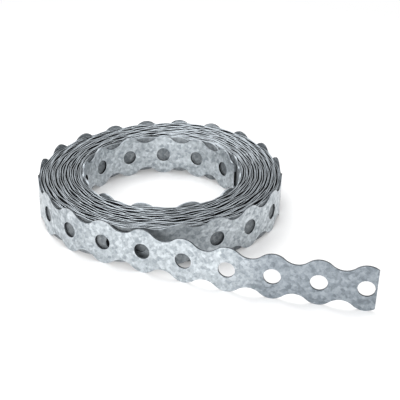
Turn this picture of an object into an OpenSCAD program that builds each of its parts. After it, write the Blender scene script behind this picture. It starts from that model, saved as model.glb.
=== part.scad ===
// A roll of perforated steel strap with wavy edges, its free end drawn out to one side.
// The roll stands on the crests of the strap's lower edge: z = 0 is the floor.
// Z is the axis of the roll and +X the way the free end points.

/* [Strap] */
// Width of the strap over the crests of its wavy edges
strap_w = 26; // [24:0.5:32]
// Width of the strap at the necks between its holes
neck_w = 17; // [15:0.5:19]
// Thickness of the steel
strap_t = 1; // [0.8:0.05:1.5]
// Distance from hole to hole along the strap
hole_pitch = 23.5; // [22:0.5:26]
// Diameter of the holes
hole_d = 9; // [6:0.1:11]
// Length of the flat on each crest
crest_flat = 1.5; // [0.8:0.1:3]

/* [Roll] */
// Diameter of the opening in the middle of the roll
bore_d = 91; // [85:1:120]
// Number of turns in the roll
turns = 26; // [8:1:30]
// Air between one turn and the next
turn_gap = 0.065; // [0.05:0.005:0.2]
// How much lower the turns next to the innermost one lie
inner_drop = 0.4; // [0:0.1:1]
// How much lower the turns next to the outermost one lie
outer_drop = 1.4; // [0:0.1:2]
// Direction from the axis to the inner end of the strap
inner_a = 27; // [0:1:359]
// Distance from the inner end to its first hole
inner_hole = 16; // [12:0.5:20]
// Width of the step beside the inner end
inner_gap = 1; // [0.5:0.1:3]

/* [Free end] */
// Straight length between the roll and the bend
lead_l = 44; // [35:1:70]
// Angle of the bend
bend_a = 10.5; // [5:0.5:25]
// Radius of the bend at the middle of the steel
bend_r = 250; // [80:5:300]
// Distance from where the strap leaves the roll to its first free hole
first_hole = 21.6; // [18:0.1:22]
// Number of free holes
free_holes = 6; // [6:1:12]
// Steel left between the last hole and the cut end
end_web = 0.8; // [0.5:0.1:4]

/* [Hidden] */
$fn = 96;
half = hole_pitch / 2;
wave_h = (strap_w - neck_w) / 2;
hole_r = hole_d / 2;
// Arc of the hollows, a touch larger than one that runs out smoothly,
// and the arc of the crests that meets it half way up
hollow_r = 1.03 * (half * half + wave_h * wave_h) / (4 * wave_h);
crest_drop = (half * half / 4 + wave_h * wave_h / 4 - crest_flat * crest_flat / 4) / wave_h;
crest_r = sqrt(crest_flat * crest_flat / 4 + crest_drop * crest_drop);
// Inside the roll crests and hollows lie past each other, so the turns there end level,
// as wide as the strap is on average
turn_w = (strap_w + neck_w) / 2;
// How far up from the crests the turns stand apart from each other at the ends of the roll
turn_open = wave_h + 1;
turn_p = strap_t + turn_gap;
bore_r = bore_d / 2;
roll_r = bore_r + turns * turn_p - turn_gap;
over = 2;
// Where the strap leaves the roll, and its run from there
leave_a = -90 - bend_a;
seat = turn_gap / 2;
leave_r = roll_r - strap_t / 2 - seat;
bend_l = bend_r * bend_a * PI / 180;
bend_steps = 12;
end_s = first_hole + (free_holes - 1) * hole_pitch + hole_r + end_web;
// Distance back from where the strap leaves the roll to the first hole there
roll_hole = hole_pitch * ceil(first_hole / hole_pitch) - first_hole;

// Inner and middle radius of a turn, its length, and the angle that a length along it takes
function turn_in(i) = bore_r + i * turn_p;
function turn_mid(i) = turn_in(i) + strap_t / 2;
function turn_l(i) = 2 * PI * turn_mid(i);
function turn_a(i, u) = u / turn_mid(i) * 180 / PI;
// Lower and upper edge of a turn: the innermost and the outermost one have the whole wave
function is_level(i) = i > 0 && i < turns - 1;
function drop(i) = inner_drop + (outer_drop - inner_drop) * i / (turns - 1);
function turn_low(i) = is_level(i) ? (strap_w - turn_w) / 2 - drop(i) : 0;
function turn_top(i) = is_level(i) ? (strap_w + turn_w) / 2 - drop(i) : strap_w;

// Hollow between two crests, as an outline that stands on the neck
module hollow_outline() {
  reach = half - crest_flat / 4;
  translate([0, hollow_r]) circle(hollow_r);
  difference() {
    translate([-reach, wave_h / 2]) square([2 * reach, wave_h / 2 + over]);
    for (side = [-1, 1]) translate([side * half, wave_h - crest_drop]) circle(crest_r);
  }
}

// That hollow in the upper and the lower edge, cut along +Y to the given depth
module hollows(depth) {
  for (edge = [0, 1]) translate([0, 0, strap_w / 2]) mirror([0, 0, edge])
    translate([0, depth, neck_w / 2]) rotate([90, 0, 0]) linear_extrude(depth) hollow_outline();
}

module hole(depth) {
  translate([0, 0, strap_w / 2]) rotate([-90, 0, 0]) cylinder(r = hole_r, h = depth);
}

// Puts its children on a turn in a direction from the axis, y inwards from a little outside it
module on_turn(i, a) {
  rotate(a + 90) translate([0, -turn_in(i) - strap_t - over, 0]) children();
}

// Puts its children on the free end, s from where it leaves the roll, y inwards from its outer face
module on_free(s) {
  bent = min(max(s - lead_l, 0), bend_l);
  rotate(leave_a + 90) translate([min(s, lead_l), bend_r - leave_r, 0]) rotate(bent / bend_r * 180 / PI)
    translate([max(s - lead_l - bend_l, 0), -bend_r - strap_t / 2, 0]) children();
}

// Section of the turned roll, every turn standing up by itself at both ends
module roll_section() {
  polygon(concat(
    [for (i = [0:turns - 1]) each concat(
      [[turn_in(i), turn_low(i)], [turn_in(i) + strap_t, turn_low(i)]],
      i < turns - 1 ? [[turn_in(i) + strap_t, turn_open], [turn_in(i + 1), turn_open]] : [])],
    [for (i = [turns - 1:-1:0]) let (open = strap_w - turn_open) each concat(
      [[turn_in(i) + strap_t, turn_top(i)], [turn_in(i), turn_top(i)]],
      i > 0 ? [[turn_in(i), open], [turn_in(i - 1) + strap_t, open]] : [])]));
}

module ring(r_in, r_out) {
  translate([0, 0, -over]) difference() {
    cylinder(r = r_out, h = strap_w + 2 * over);
    translate([0, 0, -over]) cylinder(r = r_in, h = strap_w + 4 * over);
  }
}

// Holes and hollows of one turn, from its first hole on, with way 1 or -1 round the axis
module turn_cuts(i, start_a, way, first, count) {
  depth = strap_t + 2 * over;
  first_a = start_a + way * turn_a(i, first);
  step_a = way * turn_a(i, hole_pitch);
  for (k = [0:count - 1]) on_turn(i, first_a + k * step_a) hole(depth);
  for (k = [0:count - 2]) on_turn(i, first_a + (k + 0.5) * step_a) hollows(depth);
}

module outer_cuts() {
  i = turns - 1;
  turn_cuts(i, leave_a, -1, roll_hole, floor((turn_l(i) - roll_hole) / hole_pitch));
}

// The innermost turn also shows the step where the strap begins
module inner_cuts() {
  turn_cuts(0, inner_a, 1, inner_hole, floor((turn_l(0) - inner_hole - hole_d) / hole_pitch) + 1);
  on_turn(0, inner_a) translate([-inner_gap / 2, 0, -over])
    cube([inner_gap, strap_t + 2 * over, strap_w + 2 * over]);
}

// Plan of the free end: straight, a slow bend, straight to the cut
function bend_point(a, r) = [lead_l + r * sin(a), bend_r - r * cos(a)];
function end_point(r) = bend_point(bend_a, r) + (end_s - lead_l - bend_l) * [cos(bend_a), sin(bend_a)];

module free_end() {
  r_out = bend_r + strap_t / 2;
  r_in = bend_r - strap_t / 2;
  rotate(leave_a + 90) translate([0, -leave_r, 0]) linear_extrude(strap_w) polygon(concat(
    [[0, -strap_t / 2]],
    [for (j = [0:bend_steps]) bend_point(j * bend_a / bend_steps, r_out)],
    [end_point(r_out), end_point(r_in)],
    [for (j = [bend_steps:-1:0]) bend_point(j * bend_a / bend_steps, r_in)],
    [[0, strap_t / 2]]));
}

module strap() {
  color("silver") difference() {
    union() {
      rotate_extrude() roll_section();
      free_end();
    }
    intersection() {
      ring(roll_r - strap_t - seat, roll_r + 2 * over);
      outer_cuts();
    }
    intersection() {
      ring(bore_r - 2 * over, bore_r + strap_t + seat);
      inner_cuts();
    }
    for (k = [0:free_holes - 1]) {
      on_free(first_hole + k * hole_pitch) translate([0, -over, 0]) hole(strap_t + 1.5 * over);
      on_free(first_hole + (k - 0.5) * hole_pitch) translate([0, -over, 0])
        hollows(strap_t + over + (k > 0 ? over : seat / 2));
    }
  }
}

strap();
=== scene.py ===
"""A roll of perforated steel strap with wavy edges, hot-dip galvanised, with its free end drawn out.

The strap is one strip that stands on its edge. A flat lobe with its hole is repeated along it, and the strip
is bent along a path that spirals outwards and runs off into the free end. Lengths are in metres, in the CAD
frame: Z is the axis of the roll, z = 0 the floor and +X the way the free end points.
"""

import math

import bmesh
import bpy
from mathutils import Matrix, Vector, noise


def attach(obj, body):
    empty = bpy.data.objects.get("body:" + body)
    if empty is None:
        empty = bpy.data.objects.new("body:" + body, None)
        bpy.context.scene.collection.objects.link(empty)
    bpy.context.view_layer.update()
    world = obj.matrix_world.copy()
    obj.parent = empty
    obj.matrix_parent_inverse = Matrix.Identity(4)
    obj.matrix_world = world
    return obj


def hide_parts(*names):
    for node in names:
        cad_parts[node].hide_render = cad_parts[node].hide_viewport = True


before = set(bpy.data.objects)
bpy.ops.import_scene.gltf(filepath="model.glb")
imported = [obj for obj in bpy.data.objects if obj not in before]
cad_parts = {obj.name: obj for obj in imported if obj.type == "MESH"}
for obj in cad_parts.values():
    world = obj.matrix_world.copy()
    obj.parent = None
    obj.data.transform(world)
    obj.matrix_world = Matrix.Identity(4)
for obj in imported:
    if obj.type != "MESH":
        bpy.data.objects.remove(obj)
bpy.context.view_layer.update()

MM = 0.001

# The strap, with the sizes of the CAD source
STRAP_W = 26 * MM
NECK_W = 17 * MM
STEEL = 1.0 * MM
HOLE_R = 4.5 * MM
PITCH = 23.5 * MM
HALF = PITCH / 2
# Crest and hollow are arcs of one radius, which meet half way up
WAVE_H = (STRAP_W - NECK_W) / 2
WAVE_R = (HALF**2 + WAVE_H**2) / (4 * WAVE_H)

# The free end: a straight lead, a slow bend and a straight run to the cut
BEND = math.radians(10.5)
BEND_R = 250 * MM
LEAD = 44 * MM
FREE_END = 144.4 * MM
END_WEB = 0.8 * MM
# Where the free end turns darker with painted shade
FREE_END_SHADE_FROM = 64 * MM
FREE_END_SHADE_TO = 90 * MM

# The roll, at the middle of the steel, from its inner end to where the strap leaves it
INNER_R = 46.0 * MM
LEAVE_R = 72.59 * MM
INNER_END = math.radians(27)
LEAVE = -math.pi / 2 - BEND
TURNS = 26 + (LEAVE - INNER_END) / (2 * math.pi)
FIRST_HOLE = 16 * MM
# Over this share of a turn the strip settles to the radius at which it leaves
SETTLE_TURNS = 0.2
# Hole spacing on the roll, as a share of that on the free end
WOUND_PITCH = 22.8 / 23.5
# Inside the roll crests and hollows lie past each other, so the turns end nearly level at half the mean
# width, with this share of the wave left
LEVEL = (STRAP_W + NECK_W) / 4
RIPPLE = 0.2
# How far the turns inside the roll are sunk, or raised where it is below zero: next to the first turn, and
# next to the last one at the front and at the back
DROP_INSIDE = -0.6 * MM
DROP_FRONT = 1.3 * MM
DROP_BACK = -0.5 * MM
# The air between the turns is too fine to show, so it is drawn wider: inside the roll the steel has the first
# share of its thickness, and the second one on the side where the turns lie closest
INNER_STEEL = 0.55
CLOSE_STEEL = 0.9
# How far turns lie off an even spacing, and how far they rise and sink
SLACK = 0.22 * MM
LIFT = 0.55 * MM
# Added air at the first and the last turn, as a share of the spacing, and the turns over which it fades
LOOSE = 0.6
LOOSE_TURNS = 0.8
# How far the holes inside the roll drift along the strip, the length over which they go to and fro, and the
# angle at which that begins behind the last turn
DRIFT = 0.57 * PITCH
DRIFT_LENGTH = 29.2 * PITCH
DRIFT_START = -0.5
# Painted shade between the turns: its share near the first and the last turn, on covered faces that point
# outwards and inwards, and how much lies on the walls of holes, with those of the first turn last
OUTWARD_SHADE = 0.58
INWARD_SHADE = 0.55
HOLE_SHADE = 0.45
BORE_HOLE_SHADE = 1.0
# The share of painted shade on the covered sides of the first and the last turn, whose crests stand free
CREST_SHADE = 0.6
# What lies further than this from the middle of the steel is one of its flat sides, and the rest is an edge
FLAT_SIDE = 0.3 * STEEL
# Lobes with many faces where the strap shows, counted from its inner end and from its cut
FINE_INSIDE = 18
FINE_OUTSIDE = 36
# The roll is not quite round: its mean radius in millimetres, and the height in millimetres and direction in
# degrees of one to four waves round it
MEAN_R = 72.3
OUT_OF_ROUND = ((1.2, 75), (1.8, 80), (0.6, -142), (0.6, -82))

# The photograph's view, turned from the part's own X
VIEW_ANGLE = math.radians(14)
VIEW_TURN = Matrix.Rotation(VIEW_ANGLE, 4, "Z")
# The side on which the turns lie closest
CLOSE_SIDE = VIEW_ANGLE + math.radians(64)

# Light that the white studio gives, as a share of the white that is seen
STUDIO_LIGHT = 0.56
# Distances from the roll's axis between which the table turns plain white, and its share of that white before
TABLE_NEAR = 0.15
TABLE_FAR = 0.5
TABLE_WHITE = 0.2


def add(tree, kind, settings=None, **sockets):
    """Adds a node; each socket, by name or as i and its number, takes a value or another node's output."""
    node = tree.nodes.new(kind)
    for name, value in (settings or {}).items():
        setattr(node, name, value)
    for key, value in sockets.items():
        socket = node.inputs[int(key[1:]) if key[1:].isdigit() else key.replace("_", " ")]
        if isinstance(value, bpy.types.NodeSocket):
            tree.links.new(value, socket)
        else:
            socket.default_value = value
    return node.outputs[0] if len(node.outputs) == 1 else node.outputs


def linear(code):
    """An sRGB hex colour as linear values."""
    parts = [int(code[i : i + 2], 16) / 255 for i in (1, 3, 5)]
    return [p / 12.92 if p <= 0.04045 else ((p + 0.055) / 1.055) ** 2.4 for p in parts] + [1.0]


def smooth(value):
    """Eases a value from 0 to 1."""
    value = min(max(value, 0), 1)
    return value * value * (3 - 2 * value)


def half_width(x):
    """Half width of the strap at x from a hole: a round crest that runs out into a round hollow."""
    x = abs((x + HALF) % PITCH - HALF)
    if x <= HALF / 2:
        return STRAP_W / 2 - WAVE_R + math.sqrt(WAVE_R**2 - x**2)
    return NECK_W / 2 + WAVE_R - math.sqrt(WAVE_R**2 - (HALF - x) ** 2)


def lobe(name, along, across, rings, start=-HALF, end=HALF, caps=()):
    """One pitch of flat strap with its hole, x along the strip, y through the steel and z across it.

    along and across are the steps on its edges and ends, and rings those from the hole to the edge.
    """
    line = []
    for x0, x1, side in ((start, end, 1), (end, start, -1)):
        for i in range(along):
            x = x0 + (x1 - x0) * i / along
            line.append((x, side * half_width(x)))
        for i in range(across):
            line.append((x1, side * half_width(x1) * (1 - 2 * i / across)))
    # A lobe of one ring has few faces, with a hole point for every second point of its edge
    skip = 2 if rings == 1 else 1
    bm = bmesh.new()
    edge_mark = bm.verts.layers.float.new("half_width")
    faces_out = []
    for y in (-STEEL / 2, STEEL / 2):
        loops = []
        for ring in range(rings + 1):
            f = ring / rings
            loop = []
            for x, z in line[:: 1 if ring else skip]:
                a = math.atan2(z, x)
                px = HOLE_R * math.cos(a) * (1 - f) + x * f
                vert = bm.verts.new((px, y, HOLE_R * math.sin(a) * (1 - f) + z * f))
                vert[edge_mark] = half_width(px)
                loop.append(vert)
            loops.append(loop)
        for inner, outer in zip(loops, loops[1:]):
            step = len(outer) // len(inner)
            for i in range(len(inner)):
                rim = [outer[(i * step + j) % len(outer)] for j in range(step, -1, -1)]
                bm.faces.new([inner[i], inner[(i + 1) % len(inner)], *rim])
        faces_out.append(loops)
    lower, upper = faces_out
    open_ends = set()
    if "end" not in caps:
        open_ends.update(range(along, along + across))
    if "start" not in caps:
        open_ends.update(range(2 * along + across, len(line)))
    for ring in (0, -1):
        for i in range(len(lower[ring])):
            j = (i + 1) % len(lower[ring])
            if ring == 0 or i not in open_ends:
                bm.faces.new((lower[ring][i], lower[ring][j], upper[ring][j], upper[ring][i]))
    mesh = bpy.data.meshes.new(name)
    bm.to_mesh(mesh)
    bm.free()
    return bpy.data.objects.new(name, mesh)


def roll_radius(angle):
    """Middle of the outermost turn, with directions in the photograph's view."""
    seen = angle - VIEW_ANGLE
    waves = (h * math.cos(n * seen - math.radians(to)) for n, (h, to) in enumerate(OUT_OF_ROUND, 1))
    return (MEAN_R + sum(waves)) * MM


def loose(turns):
    """Added air at so many turns from an end of the wound strip."""
    return LOOSE * math.exp(-((turns / LOOSE_TURNS) ** 2))


def roll_points():
    """Middle line of the wound steel, from its inner end to where it leaves the roll."""
    steps = 160
    total = round(TURNS * steps)
    turns = [TURNS * i / total for i in range(total + 1)]
    # The first and the last turn lie looser than the rest
    air = [1 + loose(turn) + loose(TURNS - turn) for turn in turns]
    all_air = sum(air[:-1])
    points = []
    wound = 0
    for turn, step in zip(turns, air):
        a = INNER_END + 2 * math.pi * turn
        around = Vector((math.cos(a), math.sin(a), 0))
        settle = smooth((TURNS - turn) / SETTLE_TURNS)
        outer = LEAVE_R + (roll_radius(a) - LEAVE_R) * settle
        # Two and two turns lie close together, and which two changes slowly round the roll; there is less of
        # it on the close side
        change = 5 * noise.noise(1.3 * around + Vector((0, 0, 0.35 * turn)))
        slack = SLACK * math.tanh(2 * math.sin(math.pi * turn + change)) * settle * smooth(turn)
        slack *= 1.1 - 0.7 * smooth((math.cos(a - CLOSE_SIDE) - 0.3) / 0.6)
        r = INNER_R + (outer - INNER_R) * wound / all_air + slack
        # The first and the last turn stand on the floor, and those between them rise and sink
        share = turn / TURNS
        tilt = (1 + math.sin(a - VIEW_ANGLE)) / 2
        drop = DROP_INSIDE * (1 - share) + (DROP_FRONT * (1 - tilt) + DROP_BACK * tilt) * share
        lift = LIFT * noise.noise(around + Vector((20, 0, 1.9 * turn))) - drop
        lift *= smooth((turn - 1.05) * 4) * smooth((TURNS - 0.9 - turn) * 5)
        points.append(r * around + Vector((0, 0, lift)))
        wound += step
    return points


def free_end_points():
    """Middle line of the free end, a little past its cut."""
    place = Matrix.Rotation(LEAVE + math.pi / 2, 4, "Z") @ Matrix.Translation((0, -LEAVE_R, 0))
    steps = 120
    points = []
    for i in range(1, steps + 1):
        s = 1.02 * FREE_END * i / steps
        bent = min(max(s / BEND_R - LEAD / BEND_R, 0), BEND)
        past = max(s - LEAD - BEND_R * BEND, 0)
        x = min(s, LEAD) + BEND_R * math.sin(bent) + past * math.cos(bent)
        y = BEND_R * (1 - math.cos(bent)) + past * math.sin(bent)
        points.append(place @ Vector((x, y, 0)))
    return points


def strip_path(points):
    """The middle line as a curve that the strip is bent along."""
    curve = bpy.data.curves.new("strip_path", "CURVE")
    curve.dimensions = "3D"
    spline = curve.splines.new("POLY")
    spline.points.add(len(points) - 1)
    for spot, p in zip(spline.points, points):
        spot.co = (*p, 1)
    return bpy.data.objects.new("strip_path", curve)


def galvanised_steel():
    """Hot-dip galvanised sheet: zinc that set in a mottle of pale and darker crystals, satin, not bright.

    Faces that lie between two turns and the walls of holes get painted shade, and so does the far part of the
    free end.
    """
    mat = bpy.data.materials.new("hot_dip_galvanised_steel")
    mat.use_nodes = True
    tree = mat.node_tree
    shader = tree.nodes["Principled BSDF"]
    place = add(tree, "ShaderNodeTexCoord")["Object"]
    # Zinc crystals 1 to 3 mm across, with feathered borders, and clouds of about the same size over them
    crystals = add(
        tree,
        "ShaderNodeTexVoronoi",
        {"feature": "SMOOTH_F1"},
        Vector=place,
        Scale=1 / (1.8 * MM),
        Smoothness=0.3,
    )
    shade = add(tree, "ShaderNodeSeparateColor", Color=crystals["Color"])["Red"]
    clouds = add(
        tree,
        "ShaderNodeTexNoise",
        Vector=place,
        Scale=1 / (2.5 * MM),
        Detail=5.0,
        Roughness=0.7,
        Distortion=0.5,
    )
    mottle = add(tree, "ShaderNodeMath", {"operation": "MULTIPLY_ADD"}, i0=shade, i1=0.35, i2=clouds["Fac"])
    tone = add(tree, "ShaderNodeValToRGB", Fac=mottle)
    ramp = tone[0].node.color_ramp.elements
    ramp[0].position, ramp[0].color = 0.46, linear("#8f969b")
    ramp[1].position, ramp[1].color = 0.96, linear("#ced4d8")
    # The far part of the free end gets painted shade. Sheared edges have no crystals, those of the last turn
    # and the free end are darker, and the walls of holes get painted shade, as do covered faces between the
    # turns.
    colour = tone["Color"]
    for name, blend, share, code in (
        ("drawn_out", "MULTIPLY", 1.0, "#cacdd1"),
        ("sheared", "MIX", 0.85, "#979da2"),
        ("bare_edge", "MIX", 0.9, "#45494d"),
        ("pressed", "MIX", 1.0, "#212325"),
    ):
        mark = add(tree, "ShaderNodeAttribute", {"attribute_name": name})["Fac"]
        part = add(tree, "ShaderNodeMath", {"operation": "MULTIPLY"}, i0=mark, i1=share)
        mixing = {"data_type": "RGBA", "blend_type": blend}
        colour = add(tree, "ShaderNodeMix", mixing, i0=part, i6=colour, i7=linear(code))[2]
    tree.links.new(colour, shader.inputs["Base Color"])
    # Pale crystals are the smoothest, sheared edges are rougher, and faces with painted shade between turns
    # are rougher still
    rough = add(
        tree, "ShaderNodeMapRange", Value=mottle, From_Min=0.35, From_Max=1.0, To_Min=0.46, To_Max=0.34
    )[0]
    for name, more in (("sheared", 0.16), ("pressed", 0.4)):
        mark = add(tree, "ShaderNodeAttribute", {"attribute_name": name})["Fac"]
        rough = add(tree, "ShaderNodeMath", {"operation": "MULTIPLY_ADD"}, i0=mark, i1=more, i2=rough)
    tree.links.new(rough, shader.inputs["Roughness"])
    # Shearing leaves fine scores along the edges, which shine across them
    mark = add(tree, "ShaderNodeAttribute", {"attribute_name": "sheared"})["Fac"]
    scores = add(tree, "ShaderNodeMath", {"operation": "MULTIPLY"}, i0=mark, i1=0.85)
    tree.links.new(scores, shader.inputs["Anisotropic"])
    tree.links.new(place, shader.inputs["Tangent"])
    # The zinc's own unevenness, about a millimetre across
    grain = add(tree, "ShaderNodeTexNoise", Vector=place, Scale=1 / (1.2 * MM), Detail=3.0, Roughness=0.6)
    bump = add(tree, "ShaderNodeBump", Strength=0.12, Distance=0.05 * MM, Height=grain["Fac"])
    tree.links.new(bump, shader.inputs["Normal"])
    shader.inputs["Metallic"].default_value = 1.0
    return mat


def strap_tree(parts, path, material):
    """Geometry nodes that repeat the lobes along the strip and bend the strip along its path."""
    tree = bpy.data.node_groups.new("strap_along_path", "GeometryNodeTree")
    tree.interface.new_socket("Geometry", in_out="OUTPUT", socket_type="NodeSocketGeometry")
    for name in ("Lobes", "Fine Inside", "Fine Outside"):
        tree.interface.new_socket(name, in_out="INPUT", socket_type="NodeSocketInt")
    for name in (
        "Pitch",
        "First Hole",
        "Wound Strip",
        "Wound Pitch",
        "Inner Turn",
        "Outer Turn",
        "Ripple",
        "Inner Steel",
        "Close Steel",
        "Drift",
        "Drift Length",
    ):
        tree.interface.new_socket(name, in_out="INPUT", socket_type="NodeSocketFloat")
    given = add(tree, "NodeGroupInput")

    # The flat strip: end lobes, fine lobes where the strap shows, few-faced ones inside the roll
    start = add(tree, "ShaderNodeCombineXYZ", X=given["First Hole"])
    step = add(tree, "ShaderNodeCombineXYZ", X=given["Pitch"])
    line = add(tree, "GeometryNodeMeshLine", Count=given["Lobes"], Start_Location=start, Offset=step)
    index = add(tree, "GeometryNodeInputIndex")
    left = add(tree, "ShaderNodeMath", {"operation": "SUBTRACT"}, i0=given["Lobes"], i1=index)
    same = {"data_type": "INT", "operation": "EQUAL"}
    fewer = {"data_type": "INT", "operation": "LESS_THAN"}
    is_first = add(tree, "FunctionNodeCompare", same, i2=index, i3=0)
    is_last = add(tree, "FunctionNodeCompare", same, i2=left, i3=1)
    is_end = add(tree, "FunctionNodeBooleanMath", {"operation": "OR"}, i0=is_first, i1=is_last)
    near_bore = add(tree, "FunctionNodeCompare", fewer, i2=index, i3=given["Fine Inside"])
    near_end = add(tree, "FunctionNodeCompare", fewer, i2=left, i3=given["Fine Outside"])
    shows = add(tree, "FunctionNodeBooleanMath", {"operation": "OR"}, i0=near_bore, i1=near_end)
    picks = {
        "inner_end_lobe": is_first,
        "cut_end_lobe": is_last,
        "fine_lobe": add(tree, "FunctionNodeBooleanMath", {"operation": "NIMPLY"}, i0=shows, i1=is_end),
        "plain_lobe": add(tree, "FunctionNodeBooleanMath", {"operation": "NOR"}, i0=shows, i1=is_end),
    }
    joined = add(tree, "GeometryNodeJoinGeometry")
    for name, pick in picks.items():
        shape = add(tree, "GeometryNodeObjectInfo", Object=parts[name])["Geometry"]
        row = add(tree, "GeometryNodeInstanceOnPoints", Points=line, Selection=pick, Instance=shape)
        tree.links.new(row, joined.node.inputs["Geometry"])
    flat = add(tree, "GeometryNodeRealizeInstances", Geometry=joined)
    strip = add(tree, "GeometryNodeMergeByDistance", Geometry=flat, Distance=0.02 * MM)

    # How far inside the roll a place of the strip is: 0 on its first turn, its last and the free end
    where = add(tree, "ShaderNodeSeparateXYZ", Vector=add(tree, "GeometryNodeInputPosition"))
    behind = add(tree, "ShaderNodeMath", {"operation": "SUBTRACT"}, i0=given["Wound Strip"], i1=where["X"])
    past_first = add(tree, "ShaderNodeMath", {"operation": "SUBTRACT"}, i0=where["X"], i1=given["Inner Turn"])
    past_last = add(tree, "ShaderNodeMath", {"operation": "SUBTRACT"}, i0=behind, i1=given["Outer Turn"])
    entered = add(tree, "ShaderNodeMath", {"operation": "SUBTRACT"}, i0=past_first, i1=4 * PITCH)
    nearest = add(tree, "ShaderNodeMath", {"operation": "MINIMUM"}, i0=entered, i1=past_last)
    inside = add(
        tree,
        "ShaderNodeMapRange",
        {"interpolation_type": "SMOOTHSTEP"},
        Value=nearest,
        From_Min=-4 * PITCH,
        From_Max=-0.5 * PITCH,
    )[0]

    # Faces that another turn covers get painted shade, lighter near the first and the last turn; on outward
    # faces it begins before the turn is covered, as painted shadow under the free end
    outward = add(tree, "FunctionNodeCompare", {"operation": "LESS_THAN"}, i0=where["Y"], i1=-FLAT_SIDE)
    inward = add(tree, "FunctionNodeCompare", {"operation": "GREATER_THAN"}, i0=where["Y"], i1=FLAT_SIDE)
    pressed = 0.0
    for side, covered, fade, far_end, share in (
        (outward, past_last, 2.2, past_first, OUTWARD_SHADE),
        (inward, past_first, 0.2, past_last, INWARD_SHADE),
    ):
        hid = add(
            tree, "ShaderNodeMapRange", Value=covered, From_Min=-(fade + 0.8) * PITCH, From_Max=-0.8 * PITCH
        )[0]
        crest = add(
            tree, "ShaderNodeMapRange", Value=far_end, From_Min=0.0, From_Max=0.2 * PITCH, To_Min=CREST_SHADE
        )[0]
        near_end_share = add(
            tree, "ShaderNodeMapRange", Value=nearest, From_Min=20 * PITCH, From_Max=24 * PITCH, To_Min=share
        )[0]
        covered_shade = add(tree, "ShaderNodeMath", {"operation": "MULTIPLY"}, i0=hid, i1=crest)
        covered_shade = add(tree, "ShaderNodeMath", {"operation": "MULTIPLY"}, i0=covered_shade, i1=near_end_share)
        pressed = add(tree, "ShaderNodeMath", {"operation": "MULTIPLY_ADD"}, i0=side, i1=covered_shade, i2=pressed)
    # Sheared edges point neither outwards nor inwards, and those near the middle of the strip are the walls
    # of holes
    faced = add(tree, "FunctionNodeBooleanMath", {"operation": "OR"}, i0=outward, i1=inward)
    sheared = add(tree, "FunctionNodeBooleanMath", {"operation": "NOT"}, i0=faced)
    # Sheared edges of the last turn and the free end are darker, and the walls of holes darker with painted
    # shade
    outer = add(tree, "ShaderNodeMapRange", Value=past_last, From_Min=-0.5 * PITCH, From_Max=-4 * PITCH)[0]
    across = add(tree, "ShaderNodeMath", {"operation": "ABSOLUTE"}, i0=where["Z"])
    in_hole = add(tree, "FunctionNodeCompare", {"operation": "LESS_THAN"}, i0=across, i1=1.1 * HOLE_R)
    dark_edge_place = add(tree, "ShaderNodeMath", {"operation": "MAXIMUM"}, i0=outer, i1=in_hole)
    dark_edge_mark = add(tree, "ShaderNodeMath", {"operation": "MULTIPLY"}, i0=sheared, i1=dark_edge_place)
    punched = add(tree, "FunctionNodeBooleanMath", {"operation": "AND"}, i0=sheared, i1=in_hole)
    # The walls of holes get painted shade, fullest on the first turn
    wall = add(
        tree,
        "ShaderNodeMapRange",
        Value=past_first,
        From_Min=-0.5 * PITCH,
        From_Max=0.5 * PITCH,
        To_Min=BORE_HOLE_SHADE,
        To_Max=HOLE_SHADE,
    )[0]
    pressed = add(tree, "ShaderNodeMath", {"operation": "MULTIPLY_ADD"}, i0=punched, i1=wall, i2=pressed)
    # The far part of the free end is darkened with painted shade
    drawn = add(tree, "ShaderNodeMapRange", Value=behind, From_Min=-FREE_END_SHADE_FROM, From_Max=-FREE_END_SHADE_TO)[0]
    marks = {"pressed": pressed, "sheared": sheared, "bare_edge": dark_edge_mark, "drawn_out": drawn}
    marked = strip
    for name, value in marks.items():
        marked = add(
            tree,
            "GeometryNodeStoreNamedAttribute",
            {"domain": "FACE"},
            Geometry=marked,
            Name=name,
            Value=value,
        )

    # Length along the path: the wound lobes follow each other closer, and inside the roll they drift to and
    # fro by about half a pitch, which puts steel behind most holes in the photograph's view
    on_roll = add(tree, "ShaderNodeMath", {"operation": "MINIMUM"}, i0=where["X"], i1=given["Wound Strip"])
    off_roll = add(tree, "ShaderNodeMath", {"operation": "SUBTRACT"}, i0=where["X"], i1=on_roll)
    along = add(
        tree,
        "ShaderNodeMath",
        {"operation": "MULTIPLY_ADD"},
        i0=on_roll,
        i1=given["Wound Pitch"],
        i2=off_roll,
    )
    beat = add(tree, "ShaderNodeMath", {"operation": "DIVIDE"}, i0=past_last, i1=given["Drift Length"])
    angle = add(tree, "ShaderNodeMath", {"operation": "MULTIPLY_ADD"}, i0=beat, i1=math.tau, i2=DRIFT_START)
    swing = add(tree, "ShaderNodeMath", {"operation": "COSINE"}, i0=angle)
    wander = add(
        tree, "ShaderNodeMapRange", Value=swing, From_Min=-1.0, From_Max=1.0, To_Max=given["Drift"]
    )[0]
    from_bore = add(tree, "ShaderNodeMath", {"operation": "ADD"}, i0=past_first, i1=2.5 * PITCH)
    deep = add(tree, "ShaderNodeMath", {"operation": "MINIMUM"}, i0=from_bore, i1=past_last)
    sunk = add(tree, "ShaderNodeMapRange", Value=deep, From_Min=-1.5 * PITCH, From_Max=0.5 * PITCH)[0]
    length = add(tree, "ShaderNodeMath", {"operation": "MULTIPLY_ADD"}, i0=wander, i1=sunk, i2=along)
    route = add(tree, "GeometryNodeObjectInfo", Object=path)["Geometry"]
    spot = add(tree, "GeometryNodeSampleCurve", {"mode": "LENGTH"}, Curves=route, Length=length)

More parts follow.
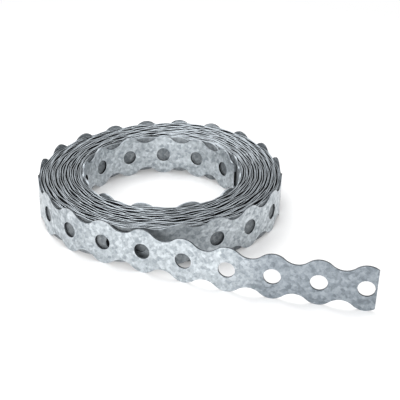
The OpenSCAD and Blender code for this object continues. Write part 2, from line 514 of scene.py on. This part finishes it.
    # Across the strip only a ripple of the wave is left inside the roll, and there the steel is drawn thinner
    edge = add(tree, "GeometryNodeInputNamedAttribute", Name="half_width")["Attribute"]
    off_level = add(tree, "ShaderNodeMath", {"operation": "SUBTRACT"}, i0=edge, i1=LEVEL)
    share = add(tree, "ShaderNodeMapRange", Value=inside, To_Min=1.0, To_Max=given["Ripple"])[0]
    width = add(tree, "ShaderNodeMath", {"operation": "MULTIPLY_ADD"}, i0=off_level, i1=share, i2=LEVEL)
    widen = add(tree, "ShaderNodeMath", {"operation": "DIVIDE"}, i0=width, i1=edge)
    height = add(
        tree, "ShaderNodeMath", {"operation": "MULTIPLY_ADD"}, i0=where["Z"], i1=widen, i2=STRAP_W / 2
    )
    way = add(tree, "ShaderNodeVectorMath", {"operation": "NORMALIZE"}, i0=spot["Position"])["Vector"]
    close = (math.cos(CLOSE_SIDE), math.sin(CLOSE_SIDE), 0)
    towards = add(tree, "ShaderNodeVectorMath", {"operation": "DOT_PRODUCT"}, i0=way, i1=close)["Value"]
    steel = add(
        tree,
        "ShaderNodeMapRange",
        Value=towards,
        From_Min=0.45,
        From_Max=0.95,
        To_Min=given["Inner Steel"],
        To_Max=given["Close Steel"],
    )[0]
    thin = add(tree, "ShaderNodeMapRange", Value=inside, To_Min=1.0, To_Max=steel)[0]
    depth = add(tree, "ShaderNodeMath", {"operation": "MULTIPLY"}, i0=where["Y"], i1=thin)
    inwards = add(
        tree, "ShaderNodeVectorMath", {"operation": "CROSS_PRODUCT"}, i0=(0, 0, 1), i1=spot["Tangent"]
    )
    through = add(tree, "ShaderNodeVectorMath", {"operation": "SCALE"}, Vector=inwards["Vector"], Scale=depth)
    up = add(tree, "ShaderNodeCombineXYZ", Z=height)
    raised = add(tree, "ShaderNodeVectorMath", {"operation": "ADD"}, i0=spot["Position"], i1=up)
    bent = add(tree, "ShaderNodeVectorMath", {"operation": "ADD"}, i0=raised["Vector"], i1=through["Vector"])
    shaped = add(tree, "GeometryNodeSetPosition", Geometry=marked, Position=bent["Vector"])
    real = add(tree, "GeometryNodeRealizeInstances", Geometry=shaped)
    done = add(tree, "GeometryNodeSetMaterial", Geometry=real, Material=material)
    out = tree.nodes.new("NodeGroupOutput")
    tree.links.new(done, out.inputs["Geometry"])
    return tree


def make_strap():
    """The whole strap as one plain mesh."""
    roll = roll_points()
    wound = sum((q - p).length for p, q in zip(roll, roll[1:]))
    strip = wound / WOUND_PITCH
    last_hole = strip + FREE_END - HOLE_R - END_WEB
    lobes = round((last_hole - FIRST_HOLE) / PITCH) + 1
    path = strip_path(roll + free_end_points())
    shapes = [
        lobe("plain_lobe", 10, 4, 1),
        lobe("fine_lobe", 24, 8, 3),
        lobe("inner_end_lobe", 28, 8, 3, start=-FIRST_HOLE, caps=("start",)),
        lobe("cut_end_lobe", 20, 8, 3, end=HOLE_R + END_WEB, caps=("end",)),
    ]
    base = bpy.data.objects.new("strap_base", bpy.data.meshes.new("strap_base"))
    helpers = [base, path, *shapes]
    for helper in helpers:
        bpy.context.scene.collection.objects.link(helper)
    values = {
        "Lobes": lobes,
        "Fine Inside": FINE_INSIDE,
        "Fine Outside": FINE_OUTSIDE,
        "Pitch": (last_hole - FIRST_HOLE) / (lobes - 1),
        "First Hole": FIRST_HOLE,
        "Wound Strip": strip,
        "Wound Pitch": WOUND_PITCH,
        "Inner Turn": 2 * math.pi * INNER_R / WOUND_PITCH,
        "Outer Turn": 2 * math.pi * LEAVE_R / WOUND_PITCH,
        "Ripple": RIPPLE,
        "Inner Steel": INNER_STEEL,
        "Close Steel": CLOSE_STEEL,
        "Drift": DRIFT,
        "Drift Length": DRIFT_LENGTH,
    }
    bend = base.modifiers.new("strap_along_path", "NODES")
    bend.node_group = strap_tree({o.name: o for o in shapes}, path, galvanised_steel())
    for item in bend.node_group.interface.items_tree:
        if item.in_out == "INPUT":
            bend[item.identifier] = values[item.name]
    mesh = bpy.data.meshes.new_from_object(base.evaluated_get(bpy.context.evaluated_depsgraph_get()))
    for helper in helpers:
        bpy.data.objects.remove(helper)
    mesh.name = "galvanised_strap"
    bm = bmesh.new()
    bm.from_mesh(mesh)
    bmesh.ops.recalc_face_normals(bm, faces=bm.faces)
    bm.to_mesh(mesh)
    bm.free()
    mesh.shade_smooth()
    mesh.set_sharp_from_angle(angle=math.radians(35))
    strap = bpy.data.objects.new("galvanised_strap", mesh)
    bpy.context.scene.collection.objects.link(strap)
    return strap


def seen_ray(tree):
    """1 for what the camera sees, also in steel or through glass, and 0 for light that falls on a surface."""
    ray = add(tree, "ShaderNodeLightPath")
    seen = ray["Is Camera Ray"]
    for kind in ("Is Glossy Ray", "Is Transmission Ray"):
        seen = add(tree, "ShaderNodeMath", {"operation": "MAXIMUM"}, i0=seen, i1=ray[kind])
    return seen


def make_floor():
    """A white table top that keeps the strap's shadow and shows white to the camera and in the steel."""
    mesh = bpy.data.meshes.new("floor")
    bm = bmesh.new()
    bmesh.ops.create_grid(bm, x_segments=1, y_segments=1, size=3.0)
    bm.to_mesh(mesh)
    bm.free()
    floor = bpy.data.objects.new("floor", mesh)
    bpy.context.scene.collection.objects.link(floor)
    mat = bpy.data.materials.new("white_table_top")
    mat.use_nodes = True
    tree = mat.node_tree
    shader = tree.nodes["Principled BSDF"]
    shader.inputs["Base Color"].default_value = linear("#f7f7f7")
    shader.inputs["Roughness"].default_value = 0.9
    shader.inputs["Specular IOR Level"].default_value = 0.1
    # Near the strap the table shows the light that falls on it, and so the shadow; far off it is plain white
    white = add(tree, "ShaderNodeEmission", Color=linear("#ffffff"), Strength=1.0)
    place = add(tree, "ShaderNodeTexCoord")["Object"]
    away = add(tree, "ShaderNodeVectorMath", {"operation": "LENGTH"}, i0=place)["Value"]
    pale = add(
        tree, "ShaderNodeMapRange", Value=away, From_Min=TABLE_NEAR, From_Max=TABLE_FAR, To_Min=TABLE_WHITE
    )[0]
    share = add(tree, "ShaderNodeMath", {"operation": "MULTIPLY"}, i0=seen_ray(tree), i1=pale)
    mix = add(tree, "ShaderNodeMixShader", i0=share, i1=shader.outputs["BSDF"], i2=white)
    tree.links.new(mix, tree.nodes["Material Output"].inputs["Surface"])
    mesh.materials.append(mat)


def area_light(name, azimuth, height, distance, size, power):
    """A round soft lamp that faces the roll, placed by angles in degrees in the photograph's view."""
    data = bpy.data.lights.new(name, "AREA")
    data.shape = "DISK"
    data.size = size
    data.energy = power
    lamp = bpy.data.objects.new(name, data)
    bpy.context.scene.collection.objects.link(lamp)
    az, el = math.radians(azimuth), math.radians(height)
    way = VIEW_TURN @ Vector((math.cos(az) * math.cos(el), math.sin(az) * math.cos(el), math.sin(el)))
    facing = (-way).to_track_quat("-Z", "Y").to_matrix().to_4x4()
    lamp.matrix_world = Matrix.Translation(way * distance + Vector((0, 0, STRAP_W / 2))) @ facing


def make_light():
    """A white studio, brighter to look at than in the light it gives, and four soft lamps."""
    world = bpy.data.worlds.new("white_studio")
    bpy.context.scene.world = world
    world.use_nodes = True
    tree = world.node_tree
    background = tree.nodes["Background"]
    background.inputs["Color"].default_value = linear("#ffffff")
    level = add(tree, "ShaderNodeMapRange", Value=seen_ray(tree), To_Min=STUDIO_LIGHT)[0]
    tree.links.new(level, background.inputs["Strength"])
    area_light("front_left", -113, 14, 0.8, 0.4, 6.9)
    area_light("front_right", -35, 14, 0.8, 0.4, 1.1)
    area_light("above_left", 124, 64, 0.9, 0.6, 4.8)
    area_light("above_right", 50, 62, 0.9, 0.6, 1.6)


def make_camera():
    """The photograph's view: the free end points to the right and a little towards the camera."""
    turn = VIEW_TURN.to_3x3()
    yaw, pitch, roll = (math.radians(v) for v in (2.883, -27.787, 1.348))
    ahead = turn @ Vector((math.sin(yaw) * math.cos(pitch), math.cos(yaw) * math.cos(pitch), math.sin(pitch)))
    right = turn @ Vector((math.cos(yaw), -math.sin(yaw), 0))
    up = right.cross(ahead)
    side = right * math.cos(roll) + up * math.sin(roll)
    top = up * math.cos(roll) - right * math.sin(roll)
    data = bpy.data.cameras.new("camera")
    data.sensor_width = 36
    data.sensor_fit = "HORIZONTAL"
    data.lens = 76.2
    data.clip_start = 0.01
    camera = bpy.data.objects.new("camera", data)
    bpy.context.scene.collection.objects.link(camera)
    place = turn @ Vector((0.23, -456.88, 244.71)) * MM
    camera.matrix_world = Matrix.Translation(place) @ Matrix((side, top, -ahead)).transposed().to_4x4()
    bpy.context.scene.camera = camera


bpy.context.scene.view_settings.view_transform = "Standard"
make_camera()
strap = make_strap()
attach(strap, "root")
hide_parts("strap")
make_floor()
make_light()
